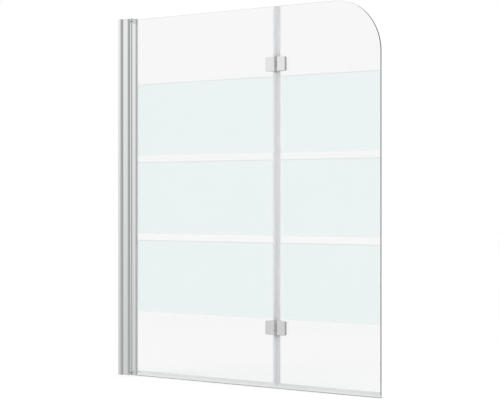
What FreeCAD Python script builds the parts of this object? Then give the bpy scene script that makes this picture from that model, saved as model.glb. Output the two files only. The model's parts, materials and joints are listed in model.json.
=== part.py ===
import FreeCAD
import Part
import math
import os

from FreeCAD import Vector

# Two-panel folding bath screen, in millimetres.
# X runs from the wall along the closed screen, -Y is the front and Z rises from the bath rim.

# Overall size
SCREEN_WIDTH = 1200.0  # wall face to the free edge of the outer pane
SCREEN_HEIGHT = 1400.0  # bath rim to the top of the wall profile

# Glass panes
GLASS_THICKNESS = 6.0
GLASS_BOTTOM = 10.0  # lower glass edge above the bath rim
GLASS_TOP_DROP = 5.0  # upper glass edge below the top of the profiles
CORNER_RADIUS = 190.0
ARRIS = 0.5
PANE_GAP = 11.0  # between the two panes at the fold

# Frosted bands, printed on the back of both panes
BAND_COUNT = 3
BAND_START = 253.0
BAND_HEIGHT = 279.0
BAND_STRIPE = 25.0  # clear glass between two bands
FROST_THICKNESS = 0.2
FROST_LIFT = 0.05
FROST_MARGIN = 1.0

# Wall profile, a channel that is screwed to the wall
WALL_REACH = 20.0
WALL_FLAT = 8.8  # flat part of the flange before it bends in
WALL_BEND = 3.0  # length of the bend before the flange slopes to the mouth
WALL_SLOPE = 20.4  # slope of the flange, in degrees
WALL_WEB = 2.2
WALL_SKIN = 1.6
WALL_HOLE_RADIUS = 3.0
WALL_HOLE_COUNT = 4
WALL_HOLE_END = 80.0  # outermost holes from the ends of the screen
WALL_CAP_HEIGHT = 12.0

# Pivot post, a hollow profile that slides into the wall profile
POST_HALF_DEPTH = 12.0
POST_TAIL = 5.0
POST_SKIN = 1.8
POST_CUP_WALL = 4.2
POST_TAPER = 15.0  # length of the tapered shoulder in front of the pivot axis
SLIDE_CLEARANCE = 0.3
END_CLEARANCE = 0.2

# Screws that fix the post in the wall profile, on the back
FIX_SETBACK = 2.0  # screw axis from the inner face of the post's tail
FIX_COUNT = 3
FIX_END = 150.0
FIX_RADIUS = 1.75
FIX_HOLE_CLEARANCE = 0.05
FIX_REACH = 2.5  # how far the tip stands inside the post
FIX_HEAD_RADIUS = 3.6
FIX_HEAD_HEIGHT = 2.2
FIX_CAP_SKIN = 1.2
FIX_CAP_SEAT = 0.05
GUIDE_RIB_WIDTH = 4.0

# Wall pivot
PIVOT_X = 56.0
NOSE_SKIN = 1.8
CUP_CLEARANCE = 0.3
CUP_SPARE_ANGLE = 4.85  # between the cup's lip and the neck at a quarter turn, in degrees
WIPER_HALF_WIDTH = 1.5
WIPER_DEPTH = 2.2
BRACKET_PLATE = 9.0
BRACKET_PLUG = 12.0
PIVOT_PIN_RADIUS = 3.0
PIVOT_PIN_START = 1.0
PIVOT_PIN_GRIP = 19.0  # length of pin inside the moving bush
BUSH_WALL = 1.95
BUSH_FLANGE = 3.2
BUSH_FLANGE_INSET = 0.8
SPIGOT_WALL = 1.08
SPIGOT_CLEARANCE = 0.1
THRUST_GAP = 0.3
PRESS_CLEARANCE = 0.02
RUNNING_CLEARANCE = 0.05

# Glass profile, the moving profile that clamps the inner pane
NECK_HALF_DEPTH = 4.6
NECK_SKIN = 1.6
NECK_LENGTH = 15.5  # pivot axis to the clamp
CLAMP_LENGTH = 14.0
CLAMP_BACK_LENGTH = 8.5
CLAMP_SKIN = 1.5
CLAMP_CHAMBER = 2.0
CLAMP_ROUND = 1.2
CLAMP_FLOOR = 2.0
GASKET_THICKNESS = 2.5
GASKET_LIP = 0.8
PANE_SEAT_GAP = 0.5
PIVOT_CAP_HEIGHT = 20.5
PIVOT_CAP_LIFT = 2.5

# Seals
SEAL_WALL = 1.2
SEAL_CLEARANCE = 0.05
SEAL_FLOOR = 1.4
SEAL_JOINT = 0.3  # gap where two seal lengths end
EDGE_SEAL_GRIP = 10.5
EDGE_RIB_HALF_WIDTH = 2.4
EDGE_SEAL_GAP = 0.6
FIN_LAP = 5.5
FIN_CLEARANCE = 0.5
FIN_THICKNESS = 0.8
BOTTOM_SEAL_GRIP = 12.0
LIP_SPREAD = 2.0
LIP_THICKNESS = 1.0

# Folding hinges
FOLD_X = 758.0
HINGE_TOP_INSET = 216.0  # hinge centre below the top of the screen
HINGE_FOOT_INSET = 222.0  # hinge centre above the bath rim
HINGE_HEIGHT = 52.0
HINGE_CORNER = 5.0
HINGE_INNER_CORNER = 1.5
LEAF_WIDTH = 36.0
BACK_PLATE_SETBACK = 8.0  # outer end of a back plate behind its leaf's
LEAF_THICKNESS = 10.0
LEAF_GAP = 0.5  # from a leaf's front face to the fold axis
LEAF_ROUND = 1.0
BACK_PLATE = 6.0
PAD_THICKNESS = 1.5
PAD_INSET = 0.8
KNUCKLE_RADIUS = 7.0
KNUCKLE_CLEARANCE = 1.0
KNUCKLE_ROUND = 0.8
MIDDLE_KNUCKLE = 16.0
WEB_INSET = 1.0
WEB_THICKNESS = 5.0
WASHER = 0.8
WASHER_INSET = 0.8
WASHER_CLEARANCE = 0.1
HINGE_PIN_RADIUS = 3.0
HINGE_PIN_INSET = 0.5
HINGE_BUSH_WALL = 1.5
HINGE_SCREW_SPREAD = 26.0
HINGE_SCREW_RADIUS = 3.0
HINGE_SCREW_SKIN = 2.7  # metal left in front of a tapped hole
HINGE_SCREW_HOLE_SPARE = 0.5
HINGE_SCREW_HEAD = 5.6
HINGE_SCREW_SINK = 0.1
SCREW_SOCKET_RADIUS = 2.3
SCREW_SOCKET_DEPTH = 2.4
SLEEVE_WALL = 2.6
SLEEVE_CLEARANCE = 0.2

# Places that follow from the sizes above
GLASS_HALF = GLASS_THICKNESS / 2
GLASS_TOP = SCREEN_HEIGHT - GLASS_TOP_DROP
INNER_EDGE = FOLD_X - PANE_GAP / 2
OUTER_EDGE = FOLD_X + PANE_GAP / 2
WALL_MOUTH = POST_HALF_DEPTH + SLIDE_CLEARANCE
WALL_MOUTH_HALF = WALL_MOUTH + WALL_SKIN
WALL_BEND_DROP = WALL_BEND * math.tan(math.radians(WALL_SLOPE) / 2)
WALL_SLOPE_DROP = (WALL_REACH - WALL_FLAT - WALL_BEND) * math.tan(math.radians(WALL_SLOPE))
WALL_HALF_DEPTH = WALL_MOUTH_HALF + WALL_BEND_DROP + WALL_SLOPE_DROP
FIX_X = POST_TAIL + POST_SKIN + FIX_SETBACK
BUSH_RADIUS = PIVOT_PIN_RADIUS + RUNNING_CLEARANCE + BUSH_WALL
SPIGOT_RADIUS = BUSH_RADIUS + PRESS_CLEARANCE + SPIGOT_WALL
NOSE_BORE = SPIGOT_RADIUS + SPIGOT_CLEARANCE
NOSE_RADIUS = NOSE_BORE + NOSE_SKIN
NOSE_END = BRACKET_PLATE + THRUST_GAP + BUSH_FLANGE
CUP_RADIUS = NOSE_RADIUS + CUP_CLEARANCE
CUP_ANGLE = math.pi / 2 - math.asin(NECK_HALF_DEPTH / CUP_RADIUS) - math.radians(CUP_SPARE_ANGLE)
CUP_TIP = PIVOT_X - CUP_RADIUS * math.cos(CUP_ANGLE)
CUP_HALF_WIDTH = CUP_RADIUS * math.sin(CUP_ANGLE)
POST_SHOULDER = PIVOT_X - POST_TAPER
CHAMBER_END = PIVOT_X - CUP_RADIUS - POST_CUP_WALL
CLAMP_START = PIVOT_X + NECK_LENGTH
CLAMP_END = CLAMP_START + CLAMP_LENGTH
CLAMP_BACK_END = CLAMP_START + CLAMP_BACK_LENGTH
PANE_SEAT = CLAMP_START + CLAMP_FLOOR
PANE_START = PANE_SEAT + PANE_SEAT_GAP
SLOT_HALF = GLASS_HALF + GASKET_THICKNESS
CLAMP_HALF_DEPTH = SLOT_HALF + CLAMP_CHAMBER + 2 * CLAMP_SKIN
BUSH_END = NOSE_END + PIVOT_PIN_GRIP
SEAL_INNER = GLASS_HALF + SEAL_CLEARANCE
SEAL_OUTER = SEAL_INNER + SEAL_WALL
BOTTOM_SEAL_TOP = GLASS_BOTTOM + BOTTOM_SEAL_GRIP
PRINT_FACE = GLASS_HALF + FROST_LIFT
PAD_FACE = GLASS_HALF + PAD_THICKNESS
HINGE_CENTRES = {"upper": SCREEN_HEIGHT - HINGE_TOP_INSET, "lower": HINGE_FOOT_INSET}
LEAF_FRONT = PAD_FACE + LEAF_THICKNESS
FOLD_Y = -LEAF_FRONT - LEAF_GAP
LEAF_EDGE = KNUCKLE_RADIUS + KNUCKLE_CLEARANCE
LEAF_END = LEAF_EDGE + LEAF_WIDTH
HINGE_SCREW_X = LEAF_EDGE + LEAF_WIDTH / 2
HINGE_BUSH_RADIUS = HINGE_PIN_RADIUS + RUNNING_CLEARANCE + HINGE_BUSH_WALL
SLEEVE_BORE = HINGE_SCREW_RADIUS + SLEEVE_CLEARANCE
SLEEVE_RADIUS = SLEEVE_BORE + SLEEVE_WALL
PANE_HOLE = SLEEVE_RADIUS + SLEEVE_CLEARANCE
BACK_FACE = PAD_FACE + BACK_PLATE
CORNER_CUT = 1 - math.sqrt(0.5)  # inset of a quarter arc's middle, as a share of its radius


# Outlines and simple solids


def plan(z):
    """Places outline points (x, y) at height z."""
    return lambda a, b: Vector(a, b, z)


def upright(y):
    """Places outline points (x, z) on the vertical plane at y."""
    return lambda a, b: Vector(a, y, b)


def across(x):
    """Places outline points (y, z) on the vertical plane at x."""
    return lambda a, b: Vector(x, a, b)


def face(place, start, *steps):
    """Face inside a closed outline: a step is a point for a straight side, or (via, end) for an arc."""
    edges = []
    here = start
    for step in steps + (start,):
        via, end = step if isinstance(step[0], tuple) else (None, step)
        if math.dist(here, end) < 1e-6:
            continue
        if via:
            edges.append(Part.Arc(place(*here), place(*via), place(*end)).toShape())
        else:
            edges.append(Part.makeLine(place(*here), place(*end)))
        here = end
    return Part.Face(Part.Wire(edges))


def bar(z0, z1, start, *steps):
    """Upright extrusion of a plan outline."""
    return face(plan(z0), start, *steps).extrude(Vector(0, 0, z1 - z0))


def block(x0, x1, y0, y1, z0, z1):
    return Part.makeBox(x1 - x0, y1 - y0, z1 - z0, Vector(x0, y0, z0))


def rod(x, y, z0, z1, radius):
    """Upright cylinder."""
    return Part.makeCylinder(radius, z1 - z0, Vector(x, y, z0))


def drill(x, z, y0, y1, radius):
    """Cylinder from front to back."""
    return Part.makeCylinder(radius, y1 - y0, Vector(x, y0, z), Vector(0, 1, 0))


def tangent_arc(x0, y0, x1, y1):
    """Via and end points of the arc that leaves (x0, y0) along X and ends at (x1, y1)."""
    across_x, across_y = x1 - x0, y1 - y0
    radius = (across_x**2 + across_y**2) / (2 * abs(across_y))
    half_turn = math.atan2(abs(across_y), across_x)
    rise = math.copysign(radius * (1 - math.cos(half_turn)), across_y)
    return (x0 + radius * math.sin(half_turn), y0 + rise), (x1, y1)


def rounded_block(x0, x1, y0, y1, z0, z1, radius):
    """Block with rounded upright edges."""
    raw = block(x0, x1, y0, y1, z0, z1)
    upright_edges = [e for e in raw.Edges if e.BoundBox.ZLength > (z1 - z0) / 2]
    return raw.makeFillet(radius, upright_edges)


def edges_at(shape, y):
    """Edges that lie wholly on the vertical plane at y."""
    return [e for e in shape.Edges if e.BoundBox.YLength < 1e-6 and abs(e.BoundBox.YMin - y) < 1e-6]


def upside_down(shape):
    """The same piece at the other end of the screen."""
    return shape.mirror(Vector(0, 0, SCREEN_HEIGHT / 2), Vector(0, 0, 1))


def other_leaf(shape):
    """The same piece on the other side of the fold."""
    return shape.mirror(Vector(FOLD_X, 0, 0), Vector(1, 0, 0))


def spaced(start, end, count):
    return [start + (end - start) * i / (count - 1) for i in range(count)]


# Wall side


def fixing_heights():
    return spaced(FIX_END, SCREEN_HEIGHT - FIX_END, FIX_COUNT)


def flanged_bar(start, inset):
    """Full-height bar whose sides run straight from start, bend and slope in to the mouth."""
    half, mouth = WALL_HALF_DEPTH - inset, WALL_MOUTH_HALF - inset
    via, end = tangent_arc(WALL_FLAT, -half, WALL_FLAT + WALL_BEND, WALL_BEND_DROP - half)
    return bar(
        0,
        SCREEN_HEIGHT,
        (start, -half),
        (WALL_FLAT, -half),
        (via, end),
        (WALL_REACH, -mouth),
        (WALL_REACH, mouth),
        (end[0], -end[1]),
        ((via[0], -via[1]), (WALL_FLAT, half)),
        (start, half),
    )


def wall_profile():
    inside = WALL_HALF_DEPTH - WALL_SKIN
    profile = flanged_bar(0, 0).cut(flanged_bar(WALL_WEB, WALL_SKIN))
    rib0, rib1 = FIX_X - GUIDE_RIB_WIDTH / 2, FIX_X + GUIDE_RIB_WIDTH / 2
    root = inside + WALL_SKIN / 4
    sides = ((-root, -WALL_MOUTH), (WALL_MOUTH, root))
    profile = profile.fuse([block(rib0, rib1, y0, y1, 0, SCREEN_HEIGHT) for y0, y1 in sides])
    holes = [
        Part.makeCylinder(WALL_HOLE_RADIUS, WALL_WEB, Vector(0, 0, z), Vector(1, 0, 0))
        for z in spaced(WALL_HOLE_END, SCREEN_HEIGHT - WALL_HOLE_END, WALL_HOLE_COUNT)
    ]
    hole = FIX_RADIUS + FIX_HOLE_CLEARANCE
    holes += [drill(FIX_X, z, 0, WALL_HALF_DEPTH, hole) for z in fixing_heights()]
    return profile.cut(holes).removeSplitter()


def wall_cap():
    """Lower end plug of the wall profile, between its web and the post."""
    half = WALL_HALF_DEPTH - WALL_SKIN - END_CLEARANCE
    return block(WALL_WEB + END_CLEARANCE, POST_TAIL - END_CLEARANCE, -half, half, 0, WALL_CAP_HEIGHT)


def post_outline(z0, z1):
    """Solid bar with the outer shape of the post."""
    via, end = tangent_arc(POST_SHOULDER, -POST_HALF_DEPTH, CUP_TIP, -CUP_HALF_WIDTH)
    return bar(
        z0,
        z1,
        (POST_TAIL, -POST_HALF_DEPTH),
        (POST_SHOULDER, -POST_HALF_DEPTH),
        (via, end),
        ((PIVOT_X - CUP_RADIUS, 0), (CUP_TIP, CUP_HALF_WIDTH)),
        ((via[0], -via[1]), (POST_SHOULDER, POST_HALF_DEPTH)),
        (POST_TAIL, POST_HALF_DEPTH),
    )


def wiper_groove(x1, half, z0, z1):
    return block(PIVOT_X - CUP_RADIUS - WIPER_DEPTH, x1, -half, half, z0, z1)


def pivot_post():
    z0, z1 = BRACKET_PLATE, SCREEN_HEIGHT - BRACKET_PLATE
    half = POST_HALF_DEPTH - POST_SKIN
    chamber = block(POST_TAIL + POST_SKIN, CHAMBER_END, -half, half, z0, z1)
    groove = wiper_groove(PIVOT_X - NOSE_RADIUS, WIPER_HALF_WIDTH, z0, z1)
    hole = FIX_RADIUS + FIX_HOLE_CLEARANCE
    holes = [drill(FIX_X, z, 0, POST_HALF_DEPTH, hole) for z in fixing_heights()]
    return post_outline(z0, z1).cut([chamber, groove] + holes)


def wiper_seal():
    """Soft strip in the post's groove that closes the cup against the moving nose."""
    z0, z1 = BRACKET_PLATE, SCREEN_HEIGHT - BRACKET_PLATE
    return wiper_groove(PIVOT_X - CUP_RADIUS, WIPER_HALF_WIDTH - SEAL_CLEARANCE, z0, z1)


def post_fixing_screws():
    tip = POST_HALF_DEPTH - POST_SKIN - FIX_REACH
    screws = []
    for z in fixing_heights():
        shank = drill(FIX_X, z, tip, WALL_HALF_DEPTH, FIX_RADIUS)
        head = drill(FIX_X, z, WALL_HALF_DEPTH, WALL_HALF_DEPTH + FIX_HEAD_HEIGHT, FIX_HEAD_RADIUS)
        head = head.makeFillet(FIX_HEAD_HEIGHT / 2, edges_at(head, WALL_HALF_DEPTH + FIX_HEAD_HEIGHT))
        screws.append(shank.fuse(head))
    return Part.makeCompound(screws)


def post_screw_caps():
    """Snap caps over the heads of the fixing screws, with skirts that follow the curved flange."""
    room = FIX_HEAD_RADIUS + END_CLEARANCE
    lid = WALL_HALF_DEPTH + FIX_HEAD_HEIGHT + END_CLEARANCE
    flange = flanged_bar(0, -FIX_CAP_SEAT)
    caps = []
    for z in fixing_heights():
        outside = drill(FIX_X, z, WALL_MOUTH_HALF, lid + FIX_CAP_SKIN, room + FIX_CAP_SKIN)
        outside = outside.makeFillet(FIX_CAP_SKIN, edges_at(outside, lid + FIX_CAP_SKIN))
        caps.append(outside.cut([drill(FIX_X, z, WALL_MOUTH_HALF, lid, room), flange]))
    return Part.makeCompound(caps)


def pivot_bracket():
    """Lower end of the post, with the arm and round eye that hold the pivot pin, and a plug in the post."""
    plate = post_outline(0, BRACKET_PLATE)
    arm = block(CHAMBER_END, CUP_TIP, -NOSE_RADIUS, NOSE_RADIUS, 0, BRACKET_PLATE)
    bridge = block(CUP_TIP, PIVOT_X, -CUP_HALF_WIDTH, CUP_HALF_WIDTH, 0, BRACKET_PLATE)
    eye = rod(PIVOT_X, 0, 0, BRACKET_PLATE, NOSE_RADIUS)
    half = POST_HALF_DEPTH - POST_SKIN - END_CLEARANCE
    plug_top = BRACKET_PLATE + BRACKET_PLUG
    plug_start = POST_TAIL + POST_SKIN + END_CLEARANCE
    plug = block(plug_start, CHAMBER_END - END_CLEARANCE, -half, half, BRACKET_PLATE, plug_top)
    bore = rod(PIVOT_X, 0, PIVOT_PIN_START, BRACKET_PLATE, PIVOT_PIN_RADIUS + PRESS_CLEARANCE)
    return plate.fuse([arm, bridge, eye, plug]).cut(bore).removeSplitter()


def pivot_pin():
    end = BUSH_END - THRUST_GAP
    pin = rod(PIVOT_X, 0, PIVOT_PIN_START, end, PIVOT_PIN_RADIUS)
    tip = [e for e in pin.Edges if e.BoundBox.ZLength < 1e-6 and e.BoundBox.ZMin > end - 1e-6]
    return pin.makeChamfer(PIVOT_PIN_RADIUS / 6, tip)


# Inner panel


def glass_profile():
    """Extrusion with a round pivot nose, a neck and the clamp for the inner pane."""
    z0, z1 = PIVOT_CAP_HEIGHT, SCREEN_HEIGHT - PIVOT_CAP_HEIGHT
    chamber_out = CLAMP_HALF_DEPTH - CLAMP_SKIN
    chamber_in = SLOT_HALF + CLAMP_SKIN
    neck_half = NECK_HALF_DEPTH - NECK_SKIN
    cuts = [
        rod(PIVOT_X, 0, z0, z1, NOSE_BORE),
        block(PIVOT_X + NOSE_RADIUS, CLAMP_START, -neck_half, neck_half, z0, z1),
        block(PANE_SEAT, CLAMP_END, -SLOT_HALF, SLOT_HALF, z0, z1),
    ]
    jaws = ((-chamber_out, -chamber_in, CLAMP_END), (chamber_in, chamber_out, CLAMP_BACK_END))
    for low, high, end in jaws:
        cuts.append(block(PANE_SEAT, end - CLAMP_SKIN, low, high, z0, z1))
    return moving_outline(z0, z1).fuse(rod(PIVOT_X, 0, z0, z1, NOSE_RADIUS)).cut(cuts).removeSplitter()


def moving_outline(z0, z1):
    """Neck and clamp of the moving profile, as a solid bar."""
    half = CLAMP_HALF_DEPTH
    clamp = rounded_block(CLAMP_START, CLAMP_BACK_END, -half, half, z0, z1, CLAMP_ROUND)
    front = rounded_block(CLAMP_START, CLAMP_END, -half, -GLASS_HALF, z0, z1, CLAMP_ROUND)
    neck = block(PIVOT_X, CLAMP_START, -NECK_HALF_DEPTH, NECK_HALF_DEPTH, z0, z1)
    return clamp.fuse([front, neck])


def pivot_cap(glass_end):
    """Lower end block of the moving profile, whose pane stops glass_end above the screen's end."""
    top = PIVOT_CAP_HEIGHT
    body = moving_outline(PIVOT_CAP_LIFT, top).cut(rod(PIVOT_X, 0, 0, top, CUP_RADIUS))
    nose = rod(PIVOT_X, 0, NOSE_END, top, NOSE_RADIUS)
    joint = block(PIVOT_X, PIVOT_X + CUP_RADIUS, -NECK_HALF_DEPTH, NECK_HALF_DEPTH, NOSE_END, top)
    spigot = rod(PIVOT_X, 0, top, BUSH_END, SPIGOT_RADIUS)
    bore = rod(PIVOT_X, 0, NOSE_END, BUSH_END, BUSH_RADIUS + PRESS_CLEARANCE)
    half = GLASS_HALF + END_CLEARANCE
    slot = block(PANE_SEAT, CLAMP_END, -half, half, glass_end - END_CLEARANCE, top)
    return body.fuse([nose, joint, spigot]).cut([bore, slot]).removeSplitter()


def pivot_bush():
    """Flanged bush that turns on the pivot pin."""
    flange = rod(PIVOT_X, 0, BRACKET_PLATE + THRUST_GAP, NOSE_END, NOSE_RADIUS - BUSH_FLANGE_INSET)
    sleeve = rod(PIVOT_X, 0, NOSE_END, BUSH_END, BUSH_RADIUS)
    bore = rod(PIVOT_X, 0, 0, BUSH_END, PIVOT_PIN_RADIUS + RUNNING_CLEARANCE)
    return flange.fuse(sleeve).cut(bore)


def glazing_gasket(side):
    """Wedge strip between the clamp and the pane, with a small lip outside the clamp."""
    z0, z1 = PIVOT_CAP_HEIGHT, SCREEN_HEIGHT - PIVOT_CAP_HEIGHT
    near, far = side * GLASS_HALF, side * SLOT_HALF
    end = CLAMP_END if side < 0 else CLAMP_BACK_END
    return bar(z0, z1, (PANE_START, near), (PANE_START, far), (end, far), (end + GASKET_LIP, near))


def arrised(pane):
    """Takes the sharp edges off both faces of a pane."""
    return pane.makeChamfer(ARRIS, edges_at(pane, -GLASS_HALF) + edges_at(pane, GLASS_HALF))


def pane_holes(x):
    return [
        drill(x, z, -GLASS_HALF, GLASS_HALF, PANE_HOLE)
        for centre in HINGE_CENTRES.values()
        for z in screw_heights(centre)
    ]


def inner_glass():
    pane = block(PANE_START, INNER_EDGE, -GLASS_HALF, GLASS_HALF, GLASS_BOTTOM, GLASS_TOP)
    return arrised(pane).cut(pane_holes(FOLD_X - HINGE_SCREW_X))


def frosted_bands(area):
    """The printed stretches of a pane's printable area, kept clear of the hinges."""
    y0, y1 = PRINT_FACE, PRINT_FACE + FROST_THICKNESS
    plates = [plate(centre, y0, y1, -FROST_MARGIN) for centre in HINGE_CENTRES.values()]
    sheet = area.extrude(Vector(0, FROST_THICKNESS, 0)).cut(plates + [other_leaf(p) for p in plates])
    bands = []
    for i in range(BAND_COUNT):
        z = BAND_START + i * (BAND_HEIGHT + BAND_STRIPE)
        bands += sheet.common(block(0, SCREEN_WIDTH, y0, y1, z, z + BAND_HEIGHT)).Solids
    return Part.makeCompound(bands)


def inner_print_area():
    x0, x1 = CLAMP_END + GASKET_LIP + FROST_MARGIN, INNER_EDGE - EDGE_SEAL_GRIP - FROST_MARGIN
    z0, z1 = BOTTOM_SEAL_TOP + FROST_MARGIN, GLASS_TOP - FROST_MARGIN
    return face(upright(PRINT_FACE), (x0, z0), (x1, z0), (x1, z1), (x0, z1))


def bottom_seal(x0, x1):
    """Clip on the lower glass edge with two soft lips that brush the bath rim."""
    floor = GLASS_BOTTOM - SEAL_CLEARANCE
    under = floor - SEAL_FLOOR
    foot = SEAL_OUTER + LIP_SPREAD
    inside = SEAL_OUTER - LIP_THICKNESS
    section = face(
        across(x0),
        (-SEAL_OUTER, BOTTOM_SEAL_TOP),
        (-SEAL_OUTER, under),
        (-foot, 0),
        (-foot + LIP_THICKNESS, 0),
        (-inside, under),
        (inside, under),
        (foot - LIP_THICKNESS, 0),
        (foot, 0),
        (SEAL_OUTER, under),
        (SEAL_OUTER, BOTTOM_SEAL_TOP),
        (SEAL_INNER, BOTTOM_SEAL_TOP),
        (SEAL_INNER, floor),
        (-SEAL_INNER, floor),
        (-SEAL_INNER, BOTTOM_SEAL_TOP),
    )
    return section.extrude(Vector(x1 - x0, 0, 0))


def edge_seal_clip(z0, z1):
    """Clip on the inner pane's free edge, with a rounded rib that meets the other panel's rib."""
    start = INNER_EDGE - EDGE_SEAL_GRIP
    bed = INNER_EDGE + SEAL_CLEARANCE
    floor = bed + SEAL_FLOOR
    nose = FOLD_X - EDGE_SEAL_GAP / 2
    rib = EDGE_RIB_HALF_WIDTH
    return bar(
        z0,
        z1,
        (start, -SEAL_OUTER),
        (floor, -SEAL_OUTER),
        (floor, -rib),
        (nose - rib, -rib),
        ((nose, 0), (nose - rib, rib)),
        (floor, rib),
        (floor, SEAL_OUTER),
        (start, SEAL_OUTER),
        (start, SEAL_INNER),
        (bed, SEAL_INNER),
        (bed, -SEAL_INNER),
        (start, -SEAL_INNER),
    )


def inner_edge_seal(z0, z1):
    """The clip with a fin that laps behind the outer panel."""
    root = INNER_EDGE
    floor = INNER_EDGE + SEAL_CLEARANCE + SEAL_FLOOR
    tip = FOLD_X + FIN_LAP
    near = SEAL_OUTER + FIN_CLEARANCE
    fin = bar(
        z0,
        z1,
        (root, SEAL_OUTER - SEAL_WALL / 2),
        (floor, SEAL_OUTER - SEAL_WALL / 2),
        (tip, near),
        (tip, near + FIN_THICKNESS),
        (root, SEAL_OUTER),
    )
    return edge_seal_clip(z0, z1).fuse(fin)


def seal_lengths():
    """The stretches of edge seal below, between and above the hinges."""
    half = HINGE_HEIGHT / 2 + SEAL_JOINT
    lower, upper = HINGE_CENTRES["lower"], HINGE_CENTRES["upper"]
    return {
        "bottom": (BOTTOM_SEAL_TOP + SEAL_JOINT, lower - half),
        "middle": (lower + half, upper - half),
        "top": (upper + half, GLASS_TOP),
    }


# Outer panel


def rounded_pane(y, x0, z0, inset):
    """Area from x0 and z0 to the free edges, with the large rounded upper corner."""
    x1, z1, radius = SCREEN_WIDTH - inset, GLASS_TOP - inset, CORNER_RADIUS - inset
    turn = radius * CORNER_CUT
    corner = ((x1 - turn, z1 - turn), (x1 - radius, z1))
    return face(upright(y), (x0, z0), (x1, z0), (x1, z1 - radius), corner, (x0, z1))


def outer_glass():
    outline = rounded_pane(-GLASS_HALF, OUTER_EDGE, GLASS_BOTTOM, 0)
    pane = arrised(outline.extrude(Vector(0, GLASS_THICKNESS, 0)))
    return pane.cut(pane_holes(FOLD_X + HINGE_SCREW_X))


def outer_print_area():
    start = OUTER_EDGE + EDGE_SEAL_GRIP + FROST_MARGIN
    return rounded_pane(PRINT_FACE, start, BOTTOM_SEAL_TOP + FROST_MARGIN, FROST_MARGIN)


# Folding hinges: each piece is made for the inner leaf and mirrored for the outer one


def screw_heights(centre):
    return [centre - HINGE_SCREW_SPREAD / 2, centre + HINGE_SCREW_SPREAD / 2]


def plate(centre, y0, y1, inset):
    """Plate on the inner pane, shorter on its back, with large corners away from the fold."""
    setback = BACK_PLATE_SETBACK if y0 > 0 else 0
    x0, x1 = FOLD_X - LEAF_END + setback + inset, FOLD_X - LEAF_EDGE - inset
    z0, z1 = centre - HINGE_HEIGHT / 2 + inset, centre + HINGE_HEIGHT / 2 - inset
    far, near = HINGE_CORNER, HINGE_INNER_CORNER
    far_cut, near_cut = far * CORNER_CUT, near * CORNER_CUT
    outline = face(
        upright(y0),
        (x0 + far, z0),
        (x1 - near, z0),
        ((x1 - near_cut, z0 + near_cut), (x1, z0 + near)),
        (x1, z1 - near),
        ((x1 - near_cut, z1 - near_cut), (x1 - near, z1)),
        (x0 + far, z1),
        ((x0 + far_cut, z1 - far_cut), (x0, z1 - far)),
        (x0, z0 + far),
        ((x0 + far_cut, z0 + far_cut), (x0 + far, z0)),
    )
    return outline.extrude(Vector(0, y1 - y0, 0))


def leaf_plate(centre):
    """Front plate of the inner leaf with its two tapped holes."""
    body = plate(centre, -LEAF_FRONT, -PAD_FACE, 0)
    body = body.makeFillet(LEAF_ROUND, edges_at(body, -LEAF_FRONT))
    x, y = FOLD_X - HINGE_SCREW_X, HINGE_SCREW_SKIN - LEAF_FRONT
    radius = HINGE_SCREW_RADIUS + PRESS_CLEARANCE
    return body.cut([drill(x, z, y, -PAD_FACE, radius) for z in screw_heights(centre)])


def knuckle(centre, z0, z1):
    """One knuckle of the round-ended barrel, with the web that joins it to the inner leaf."""
    half = HINGE_HEIGHT / 2
    barrel = rod(FOLD_X, FOLD_Y, centre - half, centre + half, KNUCKLE_RADIUS)
    ends = [e for e in barrel.Edges if e.BoundBox.ZLength < 1e-6]
    front = -LEAF_FRONT + WEB_INSET
    web = block(FOLD_X - LEAF_EDGE - LEAF_ROUND, FOLD_X, front, front + WEB_THICKNESS, z0, z1)
    slab = rod(FOLD_X, FOLD_Y, z0, z1, KNUCKLE_RADIUS + KNUCKLE_CLEARANCE)
    return barrel.makeFillet(KNUCKLE_ROUND, ends).common(slab).fuse(web)


def knuckle_spans(centre):
    """Height ranges of the lower, middle and upper knuckle."""
    half, middle = HINGE_HEIGHT / 2, MIDDLE_KNUCKLE / 2
    gap = WASHER + 2 * WASHER_CLEARANCE
    return (
        (centre - half, centre - middle - gap),
        (centre - middle, centre + middle),
        (centre + middle + gap, centre + half),
    )


def inner_leaf(centre):
    low, middle, high = knuckle_spans(centre)
    bore = rod(FOLD_X, FOLD_Y, low[0], high[1], HINGE_PIN_RADIUS + PRESS_CLEARANCE)
    knuckles = [knuckle(centre, *low), knuckle(centre, *high)]
    return leaf_plate(centre).fuse(knuckles).cut(bore).removeSplitter()


def outer_leaf(centre):
    low, middle, high = knuckle_spans(centre)
    bore = rod(FOLD_X, FOLD_Y, middle[0], middle[1], HINGE_BUSH_RADIUS + PRESS_CLEARANCE)
    return other_leaf(leaf_plate(centre).fuse(knuckle(centre, *middle)).cut(bore).removeSplitter())


def hinge_bush(centre):
    low, middle, high = knuckle_spans(centre)
    bush = rod(FOLD_X, FOLD_Y, middle[0], middle[1], HINGE_BUSH_RADIUS)
    return bush.cut(rod(FOLD_X, FOLD_Y, middle[0], middle[1], HINGE_PIN_RADIUS + RUNNING_CLEARANCE))


def hinge_pin(centre):
    half = HINGE_HEIGHT / 2 - HINGE_PIN_INSET
    return rod(FOLD_X, FOLD_Y, centre - half, centre + half, HINGE_PIN_RADIUS)


def hinge_washers(centre):
    low, middle, high = knuckle_spans(centre)
    rings = []
    for z in (low[1] + WASHER_CLEARANCE, middle[1] + WASHER_CLEARANCE):
        ring = rod(FOLD_X, FOLD_Y, z, z + WASHER, KNUCKLE_RADIUS - WASHER_INSET)
        rings.append(ring.cut(rod(FOLD_X, FOLD_Y, z, z + WASHER, HINGE_PIN_RADIUS + PRESS_CLEARANCE)))
    return Part.makeCompound(rings)


def screw_cone(x, z, spare):
    """Countersunk head with its flat face just below the back plate's face."""
    rim = HINGE_SCREW_HEAD + spare
    stem = HINGE_SCREW_RADIUS + spare
    return Part.makeCone(rim, stem, rim - stem, Vector(x, BACK_FACE, z), Vector(0, -1, 0))


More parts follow.
